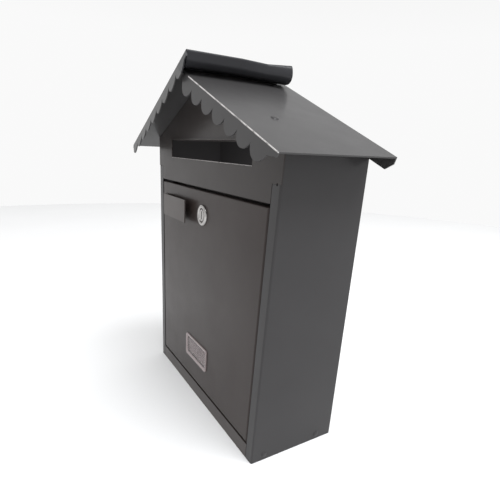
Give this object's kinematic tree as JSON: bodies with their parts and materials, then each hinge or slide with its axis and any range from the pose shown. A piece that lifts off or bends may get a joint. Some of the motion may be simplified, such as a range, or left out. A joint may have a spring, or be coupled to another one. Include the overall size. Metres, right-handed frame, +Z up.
{
  "type": "wall letter box",
  "caption": "House-shaped sheet-steel parcel drop box with a gabled scalloped roof, letter slot, lockable drop-down door, pull plate and name window.",
  "frame": {"origin": "centre of the overall bounding box, on the underside of the floor", "axes": "+X to the right seen from the front, +Y from the front towards the wall, +Z up"},
  "size_m": [0.312, 0.1062, 0.3354],
  "materials": {
    "coat_body": "satin fine-textured powder coat",
    "coat_door": "satin fine-textured powder coat",
    "coat_handle": "satin powder coat, a little lighter than the door",
    "coat_roof": "satin fine-textured powder coat",
    "chrome": "polished",
    "zinc": "zinc plated",
    "clear_plastic": "smoky clear",
    "card": "paper card",
    "dark_plastic": "matt",
    "rubber": "matt"
  },
  "bodies": {
    "box": {"body_shell": "coat_body", "floor_pan": "coat_body", "gable_plate": "coat_body", "roof_left": "coat_roof", "roof_right": "coat_roof", "roof_rivets": "coat_roof", "floor_rivets": "coat_body", "hinge_lug_left": "coat_body", "hinge_lug_right": "coat_body", "lug_rivets": "zinc", "hinge_pins": "zinc", "door_buffers": "rubber"},
    "door": {"door_panel": "coat_door", "door_handle": "coat_handle", "handle_rivets": "coat_door", "lock_barrel": "chrome", "lock_nut": "zinc", "lock_washer": "zinc", "name_window": "clear_plastic", "name_card": "card", "name_retainer": "dark_plastic"},
    "lock_rotor": {"lock_plug": "chrome", "lock_cam": "zinc", "cam_screw": "zinc"}
  },
  "joints": [
    {"name": "door_hinge", "type": "hinge", "parent": "box", "child": "door", "pos_m": [0, -0.0396, 0.02297], "axis": [1, 0, 0], "range_deg": [0, 90]},
    {"name": "lock_turn", "type": "hinge", "parent": "door", "child": "lock_rotor", "pos_m": [0, -0.03047, 0.20949], "axis": [0, -0.9976, 0.0698], "range_deg": [0, 90]}
  ]
}
